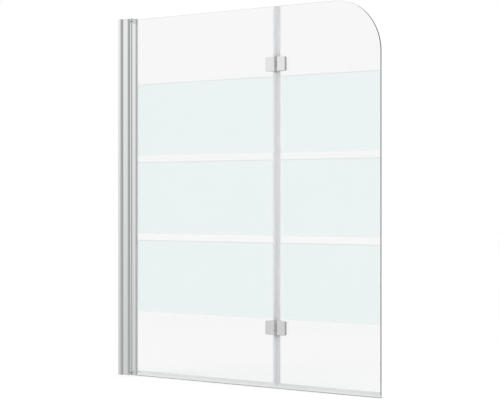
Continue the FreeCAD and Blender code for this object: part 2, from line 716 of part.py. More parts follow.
def hinge_back_plate(centre):
    x = FOLD_X - HINGE_SCREW_X
    body = plate(centre, PAD_FACE, BACK_FACE, 0)
    body = body.makeFillet(LEAF_ROUND, edges_at(body, BACK_FACE))
    holes = []
    for z in screw_heights(centre):
        holes += [drill(x, z, PAD_FACE, BACK_FACE, SLEEVE_BORE), screw_cone(x, z, SLEEVE_CLEARANCE)]
    return body.cut(holes)


def hinge_pads(centre):
    """Soft pads between the glass and the plates."""
    x = FOLD_X - HINGE_SCREW_X
    pads = []
    for y0, y1 in ((-PAD_FACE, -GLASS_HALF), (GLASS_HALF, PAD_FACE)):
        pad = plate(centre, y0, y1, PAD_INSET)
        pads.append(pad.cut([drill(x, z, y0, y1, PANE_HOLE) for z in screw_heights(centre)]))
    return Part.makeCompound(pads)


def hinge_sleeves(centre):
    """Sleeves that keep the screws off the glass."""
    x = FOLD_X - HINGE_SCREW_X
    sleeves = []
    for z in screw_heights(centre):
        tube = drill(x, z, -PAD_FACE, PAD_FACE, SLEEVE_RADIUS)
        sleeves.append(tube.cut(drill(x, z, -PAD_FACE, PAD_FACE, SLEEVE_BORE)))
    return Part.makeCompound(sleeves)


def hinge_screws(centre):
    """Countersunk socket screws, put in from the back."""
    x, tip = FOLD_X - HINGE_SCREW_X, HINGE_SCREW_SKIN + HINGE_SCREW_HOLE_SPARE - LEAF_FRONT
    screws = []
    for z in screw_heights(centre):
        shank = drill(x, z, tip, BACK_FACE, HINGE_SCREW_RADIUS)
        body = shank.fuse(screw_cone(x, z, 0))
        body.translate(Vector(0, -HINGE_SCREW_SINK, 0))
        socket = drill(x, z, BACK_FACE - SCREW_SOCKET_DEPTH, BACK_FACE, SCREW_SOCKET_RADIUS)
        screws.append(body.cut(socket))
    return Part.makeCompound(screws)


# Assembly


def wall_side():
    bracket, pin, cap = pivot_bracket(), pivot_pin(), wall_cap()
    return {
        "wall_profile": wall_profile(),
        "wall_profile_bottom_cap": cap,
        "wall_profile_top_cap": upside_down(cap),
        "pivot_post": pivot_post(),
        "post_wiper_seal": wiper_seal(),
        "post_fixing_screws": post_fixing_screws(),
        "post_screw_caps": post_screw_caps(),
        "lower_pivot_bracket": bracket,
        "upper_pivot_bracket": upside_down(bracket),
        "lower_pivot_pin": pin,
        "upper_pivot_pin": upside_down(pin),
    }


def inner_panel():
    bush = pivot_bush()
    nodes = {
        "glass_profile": glass_profile(),
        "lower_pivot_cap": pivot_cap(GLASS_BOTTOM),
        "upper_pivot_cap": upside_down(pivot_cap(GLASS_TOP_DROP)),
        "lower_pivot_bush": bush,
        "upper_pivot_bush": upside_down(bush),
        "glazing_gasket_front": glazing_gasket(-1),
        "glazing_gasket_back": glazing_gasket(1),
        "inner_glass": inner_glass(),
        "inner_frosted_bands": frosted_bands(inner_print_area()),
        "inner_bottom_seal": bottom_seal(CLAMP_END + GASKET_LIP + SEAL_JOINT, FOLD_X - EDGE_SEAL_GAP / 2),
    }
    for place, (z0, z1) in seal_lengths().items():
        nodes[f"inner_edge_seal_{place}"] = inner_edge_seal(z0, z1)
    return nodes


def outer_panel():
    nodes = {
        "outer_glass": outer_glass(),
        "outer_frosted_bands": frosted_bands(outer_print_area()),
        "outer_bottom_seal": bottom_seal(FOLD_X + EDGE_SEAL_GAP / 2, SCREEN_WIDTH),
    }
    for place, (z0, z1) in seal_lengths().items():
        nodes[f"outer_edge_seal_{place}"] = other_leaf(edge_seal_clip(z0, z1))
    return nodes


def hinge(name, centre):
    nodes = {
        f"{name}_hinge_inner_leaf": inner_leaf(centre),
        f"{name}_hinge_outer_leaf": outer_leaf(centre),
        f"{name}_hinge_bush": hinge_bush(centre),
        f"{name}_hinge_pin": hinge_pin(centre),
        f"{name}_hinge_washers": hinge_washers(centre),
    }
    clamped = {
        "back_plate": hinge_back_plate(centre),
        "pads": hinge_pads(centre),
        "sleeves": hinge_sleeves(centre),
        "screws": hinge_screws(centre),
    }
    for piece, shape in clamped.items():
        nodes[f"{name}_hinge_inner_{piece}"] = shape
        nodes[f"{name}_hinge_outer_{piece}"] = other_leaf(shape)
    return nodes


def main():
    os.makedirs("parts", exist_ok=True)
    nodes = {**wall_side(), **inner_panel(), **outer_panel()}
    for name, centre in HINGE_CENTRES.items():
        nodes.update(hinge(name, centre))
    for name, shape in nodes.items():
        shape.exportStep(f"parts/{name}.step")


main()
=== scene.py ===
import json
import math

import bmesh
import bpy
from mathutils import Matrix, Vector


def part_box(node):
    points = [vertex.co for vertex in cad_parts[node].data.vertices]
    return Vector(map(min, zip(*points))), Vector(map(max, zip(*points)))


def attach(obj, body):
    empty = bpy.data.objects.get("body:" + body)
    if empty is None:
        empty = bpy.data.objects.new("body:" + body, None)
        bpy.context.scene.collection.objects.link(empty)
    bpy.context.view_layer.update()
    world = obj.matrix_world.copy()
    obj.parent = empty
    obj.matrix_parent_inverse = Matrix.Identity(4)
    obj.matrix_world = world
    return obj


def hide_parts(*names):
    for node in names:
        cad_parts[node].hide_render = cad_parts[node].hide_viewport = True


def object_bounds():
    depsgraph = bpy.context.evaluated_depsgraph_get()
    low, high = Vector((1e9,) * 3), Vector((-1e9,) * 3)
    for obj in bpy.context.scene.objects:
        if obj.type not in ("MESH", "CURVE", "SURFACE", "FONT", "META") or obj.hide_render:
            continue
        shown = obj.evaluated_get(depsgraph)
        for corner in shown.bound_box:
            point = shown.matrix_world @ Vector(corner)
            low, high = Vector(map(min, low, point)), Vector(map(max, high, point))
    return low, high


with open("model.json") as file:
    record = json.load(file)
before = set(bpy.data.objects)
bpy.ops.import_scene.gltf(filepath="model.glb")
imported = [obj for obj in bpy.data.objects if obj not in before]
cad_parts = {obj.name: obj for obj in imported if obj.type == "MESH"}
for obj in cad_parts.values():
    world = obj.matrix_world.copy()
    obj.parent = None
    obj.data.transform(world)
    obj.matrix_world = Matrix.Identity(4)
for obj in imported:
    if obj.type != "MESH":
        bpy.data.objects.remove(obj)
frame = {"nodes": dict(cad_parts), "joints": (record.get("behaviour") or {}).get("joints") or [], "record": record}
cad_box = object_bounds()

bl_info = {
    "name": "Folding bath screen",
    "version": (1, 0, 0),
    "blender": (4, 5, 0),
    "location": "View3D > Sidebar > Bath screen",
    "description": "Dresses a two-panel folding glass bath screen with seals, gaskets, screws and finishes",
    "category": "Object",
}

PANELS = ("inner", "outer")
HINGES = ("upper", "lower")
SEAL_PLACES = ("bottom", "middle", "top")
LIGHT_PASSES = ("clear_glass", "frosted_print", "clear_pvc")  # slots that cast no shadow

# Places read from the frame, in metres
FOLD_X = next(joint for joint in frame["joints"] if joint["name"] == "panel_fold")["pos_m"][0]
PANE_LOW, PANE_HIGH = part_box("inner_glass")
GLASS_HALF = PANE_HIGH.y

# Modelling, with lengths in metres
DEPTH_AXIS = 1
HEIGHT_AXIS = 2
FRONT_TO_BACK = (math.pi / 2, 0, 0)  # lays an upright primitive down
SAME_PLACE = 1e-5
DRILL_DEPTH = 0.05  # more than a hinge is deep
SHARP_BEND = math.radians(40)  # sharper edges of a piece are rounded
SCREW_BEND = math.radians(25)
ROUNDING_STEPS = 2
ROUND_SIDES = 32
SOCKET_SIDES = 6
BULB_STEPS = 8
SHOULDER_STEPS = 6
GASKET_CORNER_STEPS = 6
WIPER_STEPS = 4
WIPER_ROUND = 0.4  # share of the wiper's width

# Grain per metre along each axis, roughness low and high, relief
METALS = {
    "polished_aluminium": ((900, 900, 4), (0.09, 0.15), 0.03),
    "chrome": ((60, 60, 60), (0.07, 0.12), 0.01),
    "steel": ((400, 400, 400), (0.25, 0.35), 0.05),
}

# Share of the light that passes
# the bottom clip and lip finishes carry painted light, the lip foot finish painted shade
SEAL_CLEARNESS = {"clear_pvc": 0.4, "soft_lip": 0.3, "bottom_clip": 0.4, "bottom_lip": 0.2, "lip_foot": 0.2}

# Roughness low and high, relief
PLASTICS = {
    "soft_pvc": ((0.55, 0.7), 0.15),
    "nylon": ((0.4, 0.5), 0.1),
    "grey_plastic": ((0.38, 0.5), 0.12),
}

# Darkest shade of a finish, as a share of its colour
METAL_SHADE = 0.96
PLASTIC_SHADE = 0.93
SEAL_SHADE = 0.97
GLASS_SHADE = 0.99
FROST_SHADE = 0.98
BORDER_SHADE = 0.86

# Noise per metre
PLASTIC_TEXTURE = 900.0
PLASTIC_CLOUD = 25.0
SEAL_CLOUD = 12.0
GLASS_CLOUD = 3.0
FROST_SPECKLE = 1500.0
NOISE_SPREAD = (0.3, 0.7)  # where nearly all values of a noise lie

# Other values of the finishes
RELIEF_DEPTH = 0.0002
GLASS_IOR = 1.5
SEAL_IOR = 1.3
FROST_IOR = 1.15
SEAL_ROUGHNESS = (0.3, 0.4)
FROST_ROUGHNESS = (0.5, 0.6)
EDGE_ROUGHNESS = 0.6
FLOOR_ROUGHNESS = 0.9
FACE_LEAN = (0.75, 0.95)  # how far a normal points to the front on a pane's edge and on its face
EDGE_LIGHT_LEAN = (0.2, 0.5)  # how far it points sideways on a level edge, with painted light, and on an upright one, with painted shade
BAND_DIGITS = 5  # digits of a metre that tell the levels of the bands apart

# Stage
LIFT_REACH = (1.0, 7.0)  # metres from the object where the floor is near and far
MIRROR_RISE = (-0.12, 0.12)  # steepness of a mirrored ray that counts as low and high
MIRROR_STOPS = (  # turn round the object, share of the dark side
    (0.0, 0.0),
    (0.225, 0.0),
    (0.24, 1.0),
    (0.735, 1.0),
    (0.76, 0.0),
    (1.0, 0.0),
)
NEW_RAMP_STOPS = 2
SENSOR_WIDTH = 36  # millimetres
WHITE = (1, 1, 1, 1)


class SealSizes(bpy.types.PropertyGroup):
    """Sizes of the seals on the glass edges"""

    wall: bpy.props.FloatProperty(
        name="Clip wall", description="Wall of the clips on the glass edges", default=0.0012, unit="LENGTH"
    )
    lip: bpy.props.FloatProperty(
        name="Lip", description="Thickness of the soft lips, bulbs and fins", default=0.0008, unit="LENGTH"
    )
    back_trim: bpy.props.FloatProperty(
        name="Back trim",
        description="How much shorter an upright clip is behind the glass",
        default=0.004,
        unit="LENGTH",
    )
    clearance: bpy.props.FloatProperty(
        name="Clearance", description="Between a clip and the glass", default=0.00005, unit="LENGTH"
    )
    bulb: bpy.props.FloatProperty(
        name="Bulb", description="Radius of the bulb between the panels", default=0.0024, unit="LENGTH"
    )
    bottom_grip: bpy.props.FloatProperty(
        name="Bottom grip", description="Height of a bottom clip on the glass", default=0.010, unit="LENGTH"
    )
    # painted shade: the part of a bottom lip below this height gets a darker finish
    foot: bpy.props.FloatProperty(
        name="Lip foot",
        description="Height of the denser foot of a bottom lip",
        default=0.0038,
        unit="LENGTH",
    )
    soft_edge: bpy.props.FloatProperty(
        name="Soft edge", description="Rounding of the moulded edges", default=0.0003, unit="LENGTH"
    )


class HingeSizes(bpy.types.PropertyGroup):
    """Sizes of the gaskets and screws of the hinges"""

    far_corner: bpy.props.FloatProperty(
        name="Far corner", description="Gasket corner away from the fold", default=0.005, unit="LENGTH"
    )
    near_corner: bpy.props.FloatProperty(
        name="Near corner", description="Gasket corner beside the fold", default=0.0015, unit="LENGTH"
    )
    gasket: bpy.props.FloatProperty(
        name="Gasket", description="Thickness of a gasket under a plate", default=0.0015, unit="LENGTH"
    )
    sleeve: bpy.props.FloatProperty(
        name="Sleeve hole", description="Radius of the gasket's holes", default=0.006, unit="LENGTH"
    )
    shank: bpy.props.FloatProperty(
        name="Screw shank", description="Radius of a screw's shank", default=0.003, unit="LENGTH"
    )
    head: bpy.props.FloatProperty(
        name="Screw head", description="Radius of a screw's countersunk head", default=0.0056, unit="LENGTH"
    )
    socket: bpy.props.FloatProperty(
        name="Socket", description="Half the key width of a screw's socket", default=0.002, unit="LENGTH"
    )
    socket_depth: bpy.props.FloatProperty(
        name="Socket depth", description="Depth of a screw's socket", default=0.0024, unit="LENGTH"
    )
    screw_edge: bpy.props.FloatProperty(
        name="Screw edge", description="Rounding of a screw's edges", default=0.0002, unit="LENGTH"
    )


class FinishColours(bpy.types.PropertyGroup):
    """Colours of the finishes, by the name of each finish"""

    polished_aluminium: bpy.props.FloatVectorProperty(
        name="Aluminium", description="Polished profiles", default=(0.82, 0.83, 0.83), subtype="COLOR"
    )
    chrome: bpy.props.FloatVectorProperty(
        name="Chrome", description="Hinge plates and knuckles", default=(0.80, 0.80, 0.81), subtype="COLOR"
    )
    steel: bpy.props.FloatVectorProperty(
        name="Steel", description="Pins and screws", default=(0.62, 0.63, 0.64), subtype="COLOR"
    )
    clear_glass: bpy.props.FloatVectorProperty(
        name="Glass",
        description="Tint through the faces of a pane",
        default=(0.929, 0.930, 0.930),
        subtype="COLOR",
    )
    # partly the glass edge's own dark tint, partly painted shade: upright pane edges are tinted darker than level
    # ones
    upright_edge: bpy.props.FloatVectorProperty(
        name="Upright edge",
        description="Tint of a pane's upright edges",
        default=(0.03, 0.052, 0.047),
        subtype="COLOR",
    )
    # painted light: level pane edges are tinted lighter, as if lit from above
    level_edge: bpy.props.FloatVectorProperty(
        name="Level edge",
        description="Tint of a pane's level edges",
        default=(0.62, 0.76, 0.72),
        subtype="COLOR",
    )
    frosted_print: bpy.props.FloatVectorProperty(
        name="Frost", description="Tint of the frosted bands", default=(0.885, 0.957, 0.947), subtype="COLOR"
    )
    # height of a darker line along the top of each band
    border: bpy.props.FloatProperty(
        name="Frost border",
        description="Height of a band's denser upper border",
        default=0.0035,
        unit="LENGTH",
    )
    clear_pvc: bpy.props.FloatVectorProperty(
        name="Edge clips",
        description="Clips of the edge seals",
        default=(0.855, 0.865, 0.875),
        subtype="COLOR",
    )
    soft_lip: bpy.props.FloatVectorProperty(
        name="Soft lips",
        description="Softer bulbs and fins of the edge seals",
        default=(0.85, 0.86, 0.87),
        subtype="COLOR",
    )
    # painted light: the bottom clips are the edge clips' pale PVC, painted lighter
    bottom_clip: bpy.props.FloatVectorProperty(
        name="Bottom clips",
        description="Clips of the bottom seals",
        default=(0.93, 0.94, 0.945),
        subtype="COLOR",
    )
    # painted light: the bottom lips are the same pale PVC, painted lighter
    bottom_lip: bpy.props.FloatVectorProperty(
        name="Bottom lips",
        description="Lips of the bottom seals",
        default=(0.93, 0.935, 0.94),
        subtype="COLOR",
    )
    # painted shade: the lips' feet are painted darker, as shade along the seal's lower edge
    lip_foot: bpy.props.FloatVectorProperty(
        name="Lip feet",
        description="Denser feet of the bottom lips",
        default=(0.56, 0.565, 0.565),
        subtype="COLOR",
    )
    soft_pvc: bpy.props.FloatVectorProperty(
        name="Gaskets", description="Pale gaskets and wiper", default=(0.82, 0.83, 0.83), subtype="COLOR"
    )
    nylon: bpy.props.FloatVectorProperty(
        name="Nylon", description="Bushes, washers and sleeves", default=(0.16, 0.16, 0.17), subtype="COLOR"
    )
    grey_plastic: bpy.props.FloatVectorProperty(
        name="Grey plastic",
        description="End caps and screw caps",
        default=(0.60, 0.61, 0.64),
        subtype="COLOR",
    )


class StageSettings(bpy.types.PropertyGroup):
    """Camera, lights and floor"""

    eye: bpy.props.FloatVectorProperty(
        name="Eye", description="Where the camera stands", default=(3.879, -4.382, 0.688), unit="LENGTH"
    )
    turn: bpy.props.FloatProperty(
        name="Turn", description="Camera's turn from the front", default=math.radians(36.52), unit="ROTATION"
    )
    lens: bpy.props.FloatProperty(
        name="Lens", description="Focal length in millimetres on a 36 mm sensor", default=106.17
    )
    ambient: bpy.props.FloatProperty(name="Ambient", description="Even light from all sides", default=0.7)
    key: bpy.props.FloatProperty(name="Key light", description="Soft light at the front left", default=60.0)
    key_place: bpy.props.FloatVectorProperty(
        name="Key place", description="Where the key light stands", default=(-2.6, -3.4, 1.7), unit="LENGTH"
    )
    fill: bpy.props.FloatProperty(name="Fill light", description="Soft light at the right", default=20.0)
    fill_place: bpy.props.FloatVectorProperty(
        name="Fill place", description="Where the fill light stands", default=(3.5, -1.5, 1.6), unit="LENGTH"
    )
    lamp_size: bpy.props.FloatProperty(
        name="Lamp size", description="Side of a soft light", default=2.5, unit="LENGTH"
    )
    mirror_light: bpy.props.FloatVectorProperty(
        name="Mirrored light side",
        description="Brightness in mirrors at the left, low and high",
        default=(0.75, 1.02),
        size=2,
    )
    mirror_dark: bpy.props.FloatProperty(
        name="Mirrored dark side", description="Brightness in mirrors at the right", default=0.48
    )
    floor: bpy.props.FloatVectorProperty(
        name="Floor", description="Pale floor", default=(0.9, 0.9, 0.9), subtype="COLOR"
    )
    floor_size: bpy.props.FloatProperty(
        name="Floor size", description="Side of the floor", default=40.0, unit="LENGTH"
    )
    floor_lift: bpy.props.FloatVectorProperty(
        name="Floor lift",
        description="Lift to white of the floor, near and far",
        default=(0.32, 0.39),
        size=2,
    )


# Modelling


def select_none():
    bpy.ops.object.select_all(action="DESELECT")


def select_only(*pieces):
    """Selects these pieces and makes the first one active."""
    select_none()
    for piece in pieces:
        piece.select_set(True)
    bpy.context.view_layer.objects.active = pieces[0]


def edit(piece):
    """Opens a piece alone in edit mode with nothing selected."""
    select_only(piece)
    bpy.ops.object.mode_set(mode="EDIT")
    clear_selection("VERT")


def leave_edit():
    bpy.ops.object.mode_set(mode="OBJECT")


def clear_selection(kind):
    """Sets what is selected in the open piece, corners or edges, and selects none of it."""
    bpy.ops.mesh.select_mode(type=kind)
    bpy.ops.mesh.select_all(action="DESELECT")


def pick_corners(wanted):
    """Selects the corners of the open piece that pass a test."""
    clear_selection("VERT")
    mesh = bmesh.from_edit_mesh(bpy.context.object.data)
    for corner in mesh.verts:
        if wanted(corner.co):
            corner.select_set(True)
    mesh.select_flush_mode()
    bmesh.update_edit_mesh(bpy.context.object.data)


def pick_edges(axis, wanted):
    """Selects the edges of the open piece that run along an axis and have both ends pass a test."""
    clear_selection("EDGE")
    mesh = bmesh.from_edit_mesh(bpy.context.object.data)
    for edge in mesh.edges:
        first, last = (corner.co for corner in edge.verts)
        if abs(first[axis] - last[axis]) > SAME_PLACE and wanted(first) and wanted(last):
            edge.select_set(True)
    mesh.select_flush_mode()
    bmesh.update_edit_mesh(bpy.context.object.data)


def apply_modifier(piece, kind, **settings):
    """Gives a piece a modifier with these settings and applies it."""
    select_only(piece)
    modifier = piece.modifiers.new(kind.title(), kind)
    for name, value in settings.items():
        setattr(modifier, name, value)
    bpy.ops.object.modifier_apply(modifier=modifier.name)


def slab(name, low, high):
    """A block between two corners, with its place in its mesh."""
    low, high = Vector(low), Vector(high)
    select_none()
    bpy.ops.mesh.primitive_cube_add(size=1, location=(low + high) / 2)
    piece = bpy.context.object
    piece.name = name
    piece.scale = high - low
    bpy.ops.object.transform_apply(location=True, rotation=True, scale=True)
    return piece


def strip(name, start, end, section, thickness):
    """A ribbon: an edge from start to end, extruded through the steps of a section and given thickness."""
    start, end = Vector(start), Vector(end)
    run = end - start
    turn = -math.pi / 2 if abs(run.z) > abs(run.x) else 0
    select_none()
    bpy.ops.mesh.primitive_plane_add(size=run.length, location=(0, 0, 0), rotation=(0, turn, 0))
    piece = bpy.context.object
    piece.name = name
    bpy.ops.object.transform_apply(location=True, rotation=True, scale=True)
    edit(piece)
    pick_corners(lambda place: place.y > 0)
    bpy.ops.mesh.delete(type="VERT")
    bpy.ops.mesh.select_all(action="SELECT")
    bpy.ops.transform.translate(value=(start + end) / 2 + Vector((0, run.length / 2, 0)))
    bpy.ops.mesh.select_mode(type="EDGE")
    here = start
    for point in section:
        bpy.ops.mesh.extrude_edges_move(TRANSFORM_OT_translate={"value": Vector(point) - here})
        here = Vector(point)
    bpy.ops.mesh.select_all(action="SELECT")
    bpy.ops.mesh.normals_make_consistent(inside=False)
    leave_edit()
    apply_modifier(piece, "SOLIDIFY", thickness=thickness, offset=0, use_even_offset=True)
    return piece


def rod(sides, radius, depth, place):
    """A rod that lies from front to back."""
    select_none()
    bpy.ops.mesh.primitive_cylinder_add(
        vertices=sides, radius=radius, depth=depth, location=place, rotation=FRONT_TO_BACK
    )
    return bpy.context.object


def cut(piece, cutter):
    """Takes a cutter's shape out of a piece and removes the cutter."""
    apply_modifier(piece, "BOOLEAN", operation="DIFFERENCE", object=cutter, solver="EXACT")
    bpy.data.objects.remove(cutter)


def soften(piece, width, angle=SHARP_BEND):
    """Rounds the sharp edges and shades the piece smooth."""
    apply_modifier(
        piece, "BEVEL", width=width, segments=ROUNDING_STEPS, limit_method="ANGLE", angle_limit=angle
    )
    bpy.ops.object.shade_smooth_by_angle(angle=angle)


def join(name, pieces):
    """Joins pieces into the first one."""
    select_only(*pieces)
    bpy.ops.object.join()
    pieces[0].name = name
    return pieces[0]


def copy_of(piece, shift):
    """A copy with its own mesh, moved by a shift that goes into the mesh."""
    select_only(piece)
    bpy.ops.object.duplicate(linked=False)
    made = bpy.context.object
    made.location = shift
    bpy.ops.object.transform_apply(location=True, rotation=False, scale=False)
    return made


def paint(piece, name):
    """Gives the whole piece one finish."""
    piece.data.materials.clear()
    piece.data.materials.append(bpy.data.materials[f"screen_{name}"])


def paint_below(piece, name, level):
    """Gives the faces below a level a second finish."""
    piece.data.materials.append(bpy.data.materials[f"screen_{name}"])
    for face in piece.data.polygons:
        if face.center.z < level:
            face.material_index = 1


def seat(piece, node, slot, body):
    """Puts a piece in its node's place."""
    piece.visible_shadow = slot not in LIGHT_PASSES
    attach(piece, body)
    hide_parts(node)


def box_middle(node):
    """Middle of the box round a node."""
    low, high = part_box(node)
    return (low + high) / 2


def arc(centre, radius, first, last, steps):
    """Points (a, b) along an arc, with angles in degrees."""
    for i in range(steps + 1):
        angle = math.radians(first + (last - first) * i / steps)
        yield centre[0] + radius * math.cos(angle), centre[1] + radius * math.sin(angle)


# Finishes


def new_finish(name):
    """A new material and its main shader."""
    finish = bpy.data.materials.new(f"screen_{name}")
    finish.use_nodes = True
    return finish, finish.node_tree.nodes["Principled BSDF"]


def add_node(owner, kind, **values):
    """A new node with values for its sockets, by name with underscores for spaces."""
    node = owner.node_tree.nodes.new(kind)
    for name, value in values.items():
        node.inputs[name.replace("_", " ")].default_value = value
    return node


def link(owner, source, target):
    owner.node_tree.links.new(source, target)


def feed(owner, source, target):
    """Links an output to a socket, or sets the socket to a plain value."""
    if isinstance(source, bpy.types.NodeSocket):
        link(owner, source, target)
    else:
        target.default_value = source


def combine(owner, operation, first, second):
    """A Math node on two outputs, or on an output and a number. Wrapping starts from zero."""
    node = owner.node_tree.nodes.new("ShaderNodeMath")
    node.operation = operation
    node.inputs[2].default_value = 0.0
    feed(owner, first, node.inputs[0])
    feed(owner, second, node.inputs[1])
    return node.outputs["Value"]


def vector_math(owner, operation, source):
    """A Vector Math node on one output."""
    node = owner.node_tree.nodes.new("ShaderNodeVectorMath")
    node.operation = operation
    link(owner, source, node.inputs[0])
    return node


def split(owner, source):
    """The parts of a vector along each axis, as outputs X, Y and Z."""
    parts = add_node(owner, "ShaderNodeSeparateXYZ")
    link(owner, source, parts.inputs["Vector"])
    return parts.outputs


def ranged(owner, factor, source=(0.0, 1.0), result=(0.0, 1.0)):
    """A factor taken from one range to another."""
    low, high = source
    first, last = result
    node = add_node(owner, "ShaderNodeMapRange", From_Min=low, From_Max=high, To_Min=first, To_Max=last)
    link(owner, factor, node.inputs["Value"])
    return node.outputs["Result"]


def grain(finish, scale, stretch=(1, 1, 1), detail=3.0):
    """Noise on Object coordinates, with its own scale along each axis."""
    place = add_node(finish, "ShaderNodeTexCoord")
    mapping = add_node(finish, "ShaderNodeMapping", Scale=stretch)
    noise = add_node(finish, "ShaderNodeTexNoise", Scale=scale, Detail=detail)
    link(finish, place.outputs["Object"], mapping.inputs["Vector"])
    link(finish, mapping.outputs["Vector"], noise.inputs["Vector"])
    return noise.outputs["Fac"]


def shade_of(colour, share=1.0):
    """A share of a colour, for a socket."""
    return (*(channel * share for channel in colour), 1.0)


def shades(finish, factor, first, second):
    """A colour between two others, each a colour or an output."""
    mix = finish.node_tree.nodes.new("ShaderNodeMix")
    mix.data_type = "RGBA"
    feed(finish, first, mix.inputs["A"])
    feed(finish, second, mix.inputs["B"])
    link(finish, factor, mix.inputs["Factor"])
    return mix.outputs["Result"]


def vary(finish, shader, factor, colour, shade, rough):
    """Lets a factor move the colour down to a darker shade, and the roughness from low to high."""
    varied = shades(finish, factor, shade_of(colour, shade), shade_of(colour))
    link(finish, varied, shader.inputs["Base Color"])
    link(finish, ranged(finish, factor, NOISE_SPREAD, rough), shader.inputs["Roughness"])


def emboss(finish, shader, factor, strength):
    """Gives a finish a fine relief."""
    bump = add_node(finish, "ShaderNodeBump", Strength=strength, Distance=RELIEF_DEPTH)
    link(finish, factor, bump.inputs["Height"])
    link(finish, bump.outputs["Normal"], shader.inputs["Normal"])


def let_through(shader, share, ior):
    """Lets a share of the light through."""
    shader.inputs["Transmission Weight"].default_value = share
    shader.inputs["IOR"].default_value = ior


def metal_finish(name, colour, stretch, rough, relief):
    """Metal with a fine grain, drawn out along the profiles."""
    finish, shader = new_finish(name)
    lines = grain(finish, 1.0, stretch)
    shader.inputs["Metallic"].default_value = 1.0
    vary(finish, shader, lines, colour, METAL_SHADE, rough)
    emboss(finish, shader, lines, relief)


def plastic_finish(name, colour, rough, relief):
    """Moulded plastic with a fine texture."""
    finish, shader = new_finish(name)
    vary(finish, shader, grain(finish, PLASTIC_CLOUD), colour, PLASTIC_SHADE, rough)
    emboss(finish, shader, grain(finish, PLASTIC_TEXTURE), relief)


def seal_finish(name, colour, share):
    """Milky plastic that lets some light through."""
    finish, shader = new_finish(name)
    vary(finish, shader, grain(finish, SEAL_CLOUD), colour, SEAL_SHADE, SEAL_ROUGHNESS)
    let_through(shader, share, SEAL_IOR)


def glass_finish(name, colour, upright_edge, level_edge):
    """Clear float glass with satin edges that look darker than its faces; the edge tint has painted shade where
    the edges stand upright and painted light where they lie level.
    """
    finish, shader = new_finish(name)
    place = add_node(finish, "ShaderNodeTexCoord")
    lean = split(finish, vector_math(finish, "ABSOLUTE", place.outputs["Normal"]).outputs["Vector"])
    on_face = ranged(finish, lean["Y"], FACE_LEAN)
    # mask that puts painted light on level edges and painted shade on upright ones
    upright_shade_mask = ranged(finish, lean["X"], EDGE_LIGHT_LEAN)
    cloud = grain(finish, GLASS_CLOUD, detail=1.0)
    edges = shades(finish, upright_shade_mask, shade_of(level_edge), shade_of(upright_edge))
    faces = shades(finish, cloud, shade_of(colour, GLASS_SHADE), shade_of(colour))
    link(finish, shades(finish, on_face, edges, faces), shader.inputs["Base Color"])
    link(finish, ranged(finish, on_face, result=(EDGE_ROUGHNESS, 0.0)), shader.inputs["Roughness"])
    let_through(shader, 1.0, GLASS_IOR)


def frost_finish(name, colour, border):
    """Frosted print that scatters the light that comes through the pane, darker along its upper border."""
    finish, shader = new_finish(name)
    corners = frame["nodes"]["inner_frosted_bands"].data.vertices
    levels = sorted({round(corner.co.z, BAND_DIGITS) for corner in corners})
    tops = levels[1::2]
    pitch = tops[1] - tops[0]
    place = add_node(finish, "ShaderNodeTexCoord")
    height = combine(finish, "SUBTRACT", split(finish, place.outputs["Object"])["Z"], tops[0])
    # a darker line at the top of each band
    on_border = combine(finish, "GREATER_THAN", combine(finish, "WRAP", height, pitch), pitch - border)
    speckle = grain(finish, FROST_SPECKLE)
    band = shades(finish, speckle, shade_of(colour, FROST_SHADE), shade_of(colour))
    bordered = shades(finish, on_border, band, shade_of(colour, BORDER_SHADE))
    link(finish, bordered, shader.inputs["Base Color"])
    link(finish, ranged(finish, speckle, NOISE_SPREAD, FROST_ROUGHNESS), shader.inputs["Roughness"])
    let_through(shader, 1.0, FROST_IOR)


def make_finishes(colours):
    """All finishes, named for the record's material slots and for the parts of the seals."""
    for name, values in METALS.items():
        metal_finish(name, getattr(colours, name), *values)
    glass_finish("clear_glass", colours.clear_glass, colours.upright_edge, colours.level_edge)
    frost_finish("frosted_print", colours.frosted_print, colours.border)
    for name, share in SEAL_CLEARNESS.items():
        seal_finish(name, getattr(colours, name), share)
    for name, values in PLASTICS.items():
        plastic_finish(name, getattr(colours, name), *values)


class BATHSCREEN_OT_finishes(bpy.types.Operator):
    """Make the finishes and give every CAD part its own"""

    bl_idname = "bath_screen.finishes"
    bl_label = "Finishes"

    def execute(self, context):
        make_finishes(context.scene.bath_screen_colours)
        for row in frame["record"]["subparts"]:
            node = frame["nodes"][row["node"]]
            paint(node, row["material_slot"])
            node.visible_shadow = row["material_slot"] not in LIGHT_PASSES
        return {"FINISHED"}


# Seals and gaskets


def soft_strip(name, start, end, section, thickness, finish):
    """A strip with rounded edges and a finish."""
    piece = strip(name, start, end, section, thickness)
    soften(piece, bpy.context.scene.bath_screen_seals.soft_edge)
    paint(piece, finish)
    return piece


def low_edge_top():
    """Height where the bottom clips end on the glass."""
    return PANE_LOW.z + bpy.context.scene.bath_screen_seals.bottom_grip


def pane_end(panel):
    """Where a pane ends at the fold, and the way from there to the pane's middle."""
    return (PANE_HIGH.x, -1) if panel == "inner" else (2 * FOLD_X - PANE_HIGH.x, 1)


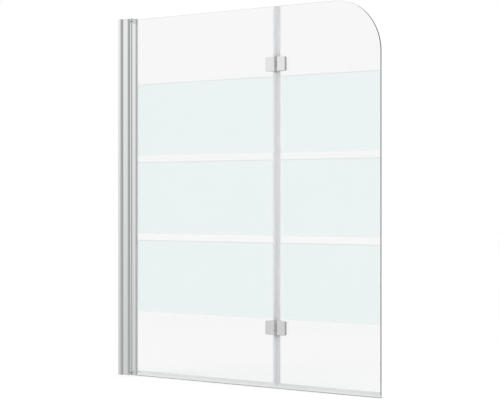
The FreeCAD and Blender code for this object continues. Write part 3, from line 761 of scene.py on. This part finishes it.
def edge_seal(panel, place):
    """Clip on a pane's edge at the fold, with a hollow bulb.

    The inner panel's seal has a fin behind the joint. The lowest bulbs run on down between the bottom seals.
    """
    sizes = bpy.context.scene.bath_screen_seals
    node = f"{panel}_edge_seal_{place}"
    low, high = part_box(node)
    bulb_foot = low.z
    if place == "bottom":
        low.z = low_edge_top() + sizes.clearance
        bulb_foot = PANE_LOW.z
    pane_edge, side = pane_end(panel)
    grip = low.x if panel == "inner" else high.x
    back_grip = grip - side * sizes.back_trim
    floor = pane_edge - side * (sizes.clearance + sizes.wall / 2)
    middle = GLASS_HALF + sizes.clearance + sizes.wall / 2

    def upright(points, thickness, finish, foot):
        (x, y), *rest = points
        section = [(a, b, foot) for a, b in rest]
        return soft_strip(node, (x, y, foot), (x, y, high.z), section, thickness, finish)

    section = [(grip, -middle), (floor, -middle), (floor, middle), (back_grip, middle)]
    clip = upright(section, sizes.wall, "clear_pvc", low.z)
    nose = FOLD_X + side * (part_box("outer_edge_seal_middle")[0].x - FOLD_X)
    centre = nose + side * sizes.bulb
    radius = sizes.bulb - sizes.lip / 2
    face = floor - side * sizes.wall / 2
    first, last = (-90, 90) if side < 0 else (270, 90)
    round_part = arc((centre, 0), radius, first, last, BULB_STEPS)
    bulb = upright([(face, -radius), *round_part, (face, radius)], sizes.lip, "soft_lip", bulb_foot)
    parts = [clip, bulb]
    if panel == "inner":
        tip = Vector((high.x, high.y - sizes.lip / 2))
        root = Vector((pane_edge, middle + sizes.wall / 4))
        bend = Vector((FOLD_X - sizes.bulb, (root.y + tip.y) / 2))
        parts.append(upright([root, bend, tip], sizes.lip, "soft_lip", low.z))
    return join(f"{node}_strip", parts), node


def bottom_seal(panel):
    """Clip on a pane's lower edge, with two lips that flare out and hang down to brush the bath rim.

    The clip is closed at the bulb between the panels, and the lips run on below it. The clip and lips are painted
    lighter as painted light, and the lips' feet darker as painted shade.
    """
    sizes = bpy.context.scene.bath_screen_seals
    node = f"{panel}_bottom_seal"
    low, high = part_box(node)
    middle = GLASS_HALF + sizes.clearance + sizes.wall / 2
    floor = PANE_LOW.z - sizes.clearance - sizes.wall / 2
    top = low_edge_top()

    def level(points, thickness, finish, first, last):
        (y, z), *rest = points
        section = [(first, a, b) for a, b in rest]
        return soft_strip(node, (first, y, z), (last, y, z), section, thickness, finish)

    pane_edge, side = pane_end(panel)
    bulb_root = pane_edge - side * sizes.wall
    clip_ends = (low.x, bulb_root) if panel == "inner" else (bulb_root, high.x)
    section = [(-middle, top), (-middle, floor), (middle, floor), (middle, top)]
    # the bottom clip's finish carries painted light
    clip = level(section, sizes.wall, "bottom_clip", *clip_ends)
    first, last = sorted((pane_edge - side * sizes.clearance, bulb_root))
    end = slab(node, (first, -GLASS_HALF, PANE_LOW.z), (last, GLASS_HALF, top))
    soften(end, sizes.soft_edge)
    paint(end, "bottom_clip")
    parts = [clip, end]
    flare = high.y - sizes.lip / 2 - middle
    foot = low.z + sizes.foot
    for way in (-1, 1):
        points = []
        for out, rise in arc((0, 0), 1, 90, 0, SHOULDER_STEPS):
            points.append((way * (middle + flare * out), foot + (floor - foot) * rise))
        points.append((way * (middle + flare), low.z + sizes.lip / 2))
        # the lip's finish carries painted light
        lip = level(points, sizes.lip, "bottom_lip", low.x, high.x)
        # painted shade on the lip's foot
        paint_below(lip, "lip_foot", foot)
        parts.append(lip)
    return join(f"{node}_strip", parts), node


class BATHSCREEN_OT_seals(bpy.types.Operator):
    """Model the translucent seals on the glass edges"""

    bl_idname = "bath_screen.seals"
    bl_label = "Seals"

    def execute(self, context):
        for panel in PANELS:
            made = [edge_seal(panel, place) for place in SEAL_PLACES] + [bottom_seal(panel)]
            for piece, node in made:
                seat(piece, node, "clear_pvc", f"{panel}_panel")
        return {"FINISHED"}


def wedge_gasket(side, node):
    """Strip between the clamp and the pane that thins to a lip outside the clamp."""
    low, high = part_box(node)
    soft_edge = bpy.context.scene.bath_screen_seals.soft_edge
    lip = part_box("glazing_gasket_front")[1].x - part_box("glass_profile")[1].x
    far = low.y if side < 0 else high.y
    piece = slab(f"{node}_strip", low, high)
    edit(piece)
    pick_corners(lambda place: abs(place.x - high.x) < soft_edge and abs(place.y - far) < soft_edge)
    bpy.ops.transform.translate(value=(-lip, 0, 0))
    leave_edit()
    soften(piece, soft_edge)
    paint(piece, "soft_pvc")
    return piece


def wiper(node):
    """Soft strip with a rounded front, in the post's groove."""
    low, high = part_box(node)
    soft_edge = bpy.context.scene.bath_screen_seals.soft_edge
    piece = slab(f"{node}_strip", low, high)
    edit(piece)
    pick_edges(HEIGHT_AXIS, lambda place: place.x > high.x - soft_edge)
    bpy.ops.mesh.bevel(offset=(high.y - low.y) * WIPER_ROUND, segments=WIPER_STEPS)
    leave_edit()
    soften(piece, soft_edge / 2)
    paint(piece, "soft_pvc")
    return piece


class BATHSCREEN_OT_gaskets(bpy.types.Operator):
    """Model the glazing gaskets in the clamp and the wiper at the pivot"""

    bl_idname = "bath_screen.gaskets"
    bl_label = "Gaskets"

    def execute(self, context):
        for side, name in ((-1, "front"), (1, "back")):
            node = f"glazing_gasket_{name}"
            seat(wedge_gasket(side, node), node, "soft_pvc", "inner_panel")
        node = "post_wiper_seal"
        seat(wiper(node), node, "soft_pvc", "wall_side")
        return {"FINISHED"}


# Hinges


def screw_heights(name):
    """Heights of a hinge's two screws, from the box round their heads."""
    head = bpy.context.scene.bath_screen_hinges.head
    low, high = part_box(f"{name}_hinge_inner_screws")
    return low.z + head, high.z - head


def plate_gasket(node, name, low, high):
    """One gasket, with large corners away from the fold and two sleeve holes."""
    sizes = bpy.context.scene.bath_screen_hinges
    piece = slab(node, low, high)
    away, near = (low.x, high.x) if high.x < FOLD_X else (high.x, low.x)
    for x, radius in ((away, sizes.far_corner), (near, sizes.near_corner)):
        edit(piece)
        pick_edges(DEPTH_AXIS, lambda place: abs(place.x - x) < SAME_PLACE)
        bpy.ops.mesh.bevel(offset=radius, segments=GASKET_CORNER_STEPS)
        leave_edit()
    x = box_middle(node.replace("pads", "screws")).x
    for z in screw_heights(name):
        cut(piece, rod(ROUND_SIDES, sizes.sleeve, DRILL_DEPTH, (x, 0, z)))
    soften(piece, bpy.context.scene.bath_screen_seals.soft_edge)
    paint(piece, "soft_pvc")
    return piece


def hinge_gaskets(name, panel):
    """The gaskets under a hinge's leaf and back plate on one panel."""
    node = f"{name}_hinge_{panel}_pads"
    thick = bpy.context.scene.bath_screen_hinges.gasket
    low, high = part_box(node)
    inset = low.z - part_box(f"{name}_hinge_{panel}_leaf")[0].z
    back_low, back_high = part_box(f"{name}_hinge_{panel}_back_plate")
    front = plate_gasket(node, name, low, Vector((high.x, low.y + thick, high.z)))
    back_low = Vector((back_low.x + inset, high.y - thick, low.z))
    back_high = Vector((back_high.x - inset, high.y, high.z))
    back = plate_gasket(node, name, back_low, back_high)
    return join(f"{name}_hinge_{panel}_gaskets", [front, back]), node


class BATHSCREEN_OT_hinge_gaskets(bpy.types.Operator):
    """Model the gaskets between the hinge plates and the glass"""

    bl_idname = "bath_screen.hinge_gaskets"
    bl_label = "Hinge gaskets"

    def execute(self, context):
        for name in HINGES:
            for panel in PANELS:
                piece, node = hinge_gaskets(name, panel)
                seat(piece, node, "soft_pvc", f"{panel}_panel")
        return {"FINISHED"}


def socket_screw():
    """Countersunk screw with a six-sided socket, on the Y axis with its head face at y = 0."""
    sizes = bpy.context.scene.bath_screen_hinges
    low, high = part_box("upper_hinge_inner_screws")
    cone = sizes.head - sizes.shank
    length = high.y - low.y
    grow = sizes.head / sizes.shank
    select_none()
    bpy.ops.mesh.primitive_circle_add(
        vertices=ROUND_SIDES,
        radius=sizes.shank,
        fill_type="NGON",
        location=(0, -length, 0),
        rotation=FRONT_TO_BACK,
    )
    screw = bpy.context.object
    bpy.ops.object.transform_apply(location=True, rotation=True, scale=True)
    edit(screw)
    bpy.ops.mesh.select_all(action="SELECT")
    bpy.ops.mesh.extrude_region_move(TRANSFORM_OT_translate={"value": (0, length - cone, 0)})
    bpy.ops.mesh.extrude_region_move(TRANSFORM_OT_translate={"value": (0, cone, 0)})
    bpy.ops.transform.resize(value=(grow, 1, grow), center_override=(0, 0, 0))
    bpy.ops.mesh.select_all(action="SELECT")
    bpy.ops.mesh.normals_make_consistent(inside=False)
    leave_edit()
    corner = sizes.socket / math.cos(math.pi / SOCKET_SIDES)
    cut(screw, rod(SOCKET_SIDES, corner, 2 * sizes.socket_depth, (0, 0, 0)))
    soften(screw, sizes.screw_edge, SCREW_BEND)
    paint(screw, "steel")
    return screw


class BATHSCREEN_OT_hinge_screws(bpy.types.Operator):
    """Model the socket screws in the hinges' back plates"""

    bl_idname = "bath_screen.hinge_screws"
    bl_label = "Hinge screws"

    def execute(self, context):
        pattern = socket_screw()
        for name in HINGES:
            for panel in PANELS:
                node = f"{name}_hinge_{panel}_screws"
                x, back = box_middle(node).x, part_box(node)[1].y
                pair = [copy_of(pattern, (x, back, z)) for z in screw_heights(name)]
                piece = join(f"{name}_hinge_{panel}_socket_screws", pair)
                seat(piece, node, "steel", f"{panel}_panel")
        bpy.data.objects.remove(pattern)
        return {"FINISHED"}


# Stage


def mirrored(owner, path):
    """1 for a ray that has left a mirror-like surface."""
    return combine(owner, "GREATER_THAN", path.outputs["Glossy Depth"], 0.5)


def seen(owner, path):
    """1 for a ray that shows the background to the camera, off metal or through glass."""
    direct = combine(owner, "MAXIMUM", path.outputs["Is Camera Ray"], path.outputs["Is Transmission Ray"])
    return combine(owner, "MAXIMUM", direct, path.outputs["Is Glossy Ray"])


def mix_shaders(owner, factor, first, second):
    """The first shader, and the second one where the factor is 1."""
    mix = owner.node_tree.nodes.new("ShaderNodeMixShader")
    link(owner, factor, mix.inputs["Fac"])
    link(owner, first, mix.inputs[1])
    link(owner, second, mix.inputs[2])
    return mix.outputs["Shader"]


def floor_finish(colour, lift):
    """Pale floor that is lifted to white where it is seen, keeps the shadow, and stays out of mirrors."""
    finish, shader = new_finish("stage_floor")
    shader.inputs["Roughness"].default_value = FLOOR_ROUGHNESS
    shader.inputs["Specular IOR Level"].default_value = 0.0
    shader.inputs["Base Color"].default_value = shade_of(colour)
    shader.inputs["Emission Color"].default_value = WHITE
    path = add_node(finish, "ShaderNodeLightPath")
    place = add_node(finish, "ShaderNodeTexCoord")
    reach = vector_math(finish, "LENGTH", place.outputs["Object"]).outputs["Value"]
    glow = combine(finish, "MULTIPLY", seen(finish, path), ranged(finish, reach, LIFT_REACH, lift))
    link(finish, glow, shader.inputs["Emission Strength"])
    clear = add_node(finish, "ShaderNodeBsdfTransparent")
    surface = mix_shaders(finish, mirrored(finish, path), shader.outputs["BSDF"], clear.outputs["BSDF"])
    link(finish, surface, finish.node_tree.nodes["Material Output"].inputs["Surface"])
    return finish


def studio(world, light, dark):
    """Grey levels that mirrors show: light at the left, brighter higher up, and dark at the right."""
    nodes = world.node_tree.nodes
    place = add_node(world, "ShaderNodeTexCoord")
    sweep = add_node(world, "ShaderNodeTexGradient")
    sweep.gradient_type = "RADIAL"
    ramp = add_node(world, "ShaderNodeValToRGB")
    link(world, place.outputs["Generated"], sweep.inputs["Vector"])
    link(world, sweep.outputs["Fac"], ramp.inputs["Fac"])
    stops = ramp.color_ramp.elements
    for i, (turn, grey) in enumerate(MIRROR_STOPS):
        stop = stops[i] if i < NEW_RAMP_STOPS else stops.new(turn)
        stop.position = turn
        stop.color = (grey, grey, grey, 1)
    rise = ranged(world, split(world, place.outputs["Generated"])["Z"], MIRROR_RISE, light)
    mix = nodes.new("ShaderNodeMix")
    mix.data_type = "FLOAT"
    mix.inputs["B"].default_value = dark
    link(world, rise, mix.inputs["A"])
    link(world, ramp.outputs["Color"], mix.inputs["Factor"])
    glow = add_node(world, "ShaderNodeBackground", Color=WHITE)
    link(world, mix.outputs["Result"], glow.inputs["Strength"])
    return glow.outputs["Background"]


def light_world(ambient, light, dark):
    """Even light, plain white where the background is seen, and the studio in mirrors."""
    world = bpy.data.worlds.new("studio")
    bpy.context.scene.world = world
    world.use_nodes = True
    nodes = world.node_tree.nodes
    even = nodes["Background"]
    even.inputs["Color"].default_value = WHITE
    even.inputs["Strength"].default_value = ambient
    white = add_node(world, "ShaderNodeBackground", Color=WHITE, Strength=1.0)
    path = add_node(world, "ShaderNodeLightPath")
    shown = mix_shaders(world, seen(world, path), even.outputs["Background"], white.outputs["Background"])
    shown = mix_shaders(world, mirrored(world, path), shown, studio(world, light, dark))
    link(world, shown, nodes["World Output"].inputs["Surface"])


def soft_light(name, power, size, place, aim):
    """A square lamp that only lights, unseen in mirrors and through glass."""
    select_none()
    bpy.ops.object.light_add(type="AREA", location=place)
    lamp = bpy.context.object
    lamp.name = name
    lamp.data.energy = power
    lamp.data.size = size
    lamp.visible_glossy = False
    lamp.visible_transmission = False
    lamp.rotation_euler = (aim - Vector(place)).to_track_quat("-Z", "Y").to_euler()


class BATHSCREEN_OT_stage(bpy.types.Operator):
    """Set the floor, the lights and the camera"""

    bl_idname = "bath_screen.stage"
    bl_label = "Stage"

    def execute(self, context):
        settings = context.scene.bath_screen_stage
        select_none()
        bpy.ops.mesh.primitive_plane_add(size=settings.floor_size, location=(0, 0, cad_box[0].z))
        floor = context.object
        floor.name = "stage_floor"
        floor.data.materials.append(floor_finish(settings.floor, settings.floor_lift))
        light_world(settings.ambient, settings.mirror_light, settings.mirror_dark)
        middle = (cad_box[0] + cad_box[1]) / 2
        soft_light("key_light", settings.key, settings.lamp_size, settings.key_place, middle)
        soft_light("fill_light", settings.fill, settings.lamp_size, settings.fill_place, middle)
        bpy.ops.object.camera_add(location=settings.eye, rotation=(math.pi / 2, 0, settings.turn))
        camera = context.object
        camera.data.lens = settings.lens
        camera.data.sensor_width = SENSOR_WIDTH
        context.scene.camera = camera
        context.scene.view_settings.view_transform = "Standard"
        return {"FINISHED"}


class BATHSCREEN_PT_panel(bpy.types.Panel):
    """Lists the steps and the settings of the bath screen"""

    bl_idname = "BATHSCREEN_PT_panel"
    bl_label = "Bath screen"
    bl_space_type = "VIEW_3D"
    bl_region_type = "UI"
    bl_category = "Bath screen"

    def draw(self, context):
        for operator in OPERATORS:
            self.layout.operator(operator.bl_idname)
        for name in GROUPS:
            settings = getattr(context.scene, name)
            for prop in settings.__annotations__:
                self.layout.prop(settings, prop)


GROUPS = {
    "bath_screen_seals": SealSizes,
    "bath_screen_hinges": HingeSizes,
    "bath_screen_colours": FinishColours,
    "bath_screen_stage": StageSettings,
}
OPERATORS = (
    BATHSCREEN_OT_finishes,
    BATHSCREEN_OT_seals,
    BATHSCREEN_OT_gaskets,
    BATHSCREEN_OT_hinge_gaskets,
    BATHSCREEN_OT_hinge_screws,
    BATHSCREEN_OT_stage,
)


def register():
    for name, group in GROUPS.items():
        bpy.utils.register_class(group)
        setattr(bpy.types.Scene, name, bpy.props.PointerProperty(type=group))
    for operator in OPERATORS:
        bpy.utils.register_class(operator)
    bpy.utils.register_class(BATHSCREEN_PT_panel)


def unregister():
    bpy.utils.unregister_class(BATHSCREEN_PT_panel)
    for operator in reversed(OPERATORS):
        bpy.utils.unregister_class(operator)
    for name, group in GROUPS.items():
        delattr(bpy.types.Scene, name)
        bpy.utils.unregister_class(group)


def main():
    register()
    bpy.ops.bath_screen.finishes()
    bpy.ops.bath_screen.seals()
    bpy.ops.bath_screen.gaskets()
    bpy.ops.bath_screen.hinge_gaskets()
    bpy.ops.bath_screen.hinge_screws()
    bpy.ops.bath_screen.stage()


if __name__ == "__main__":
    main()
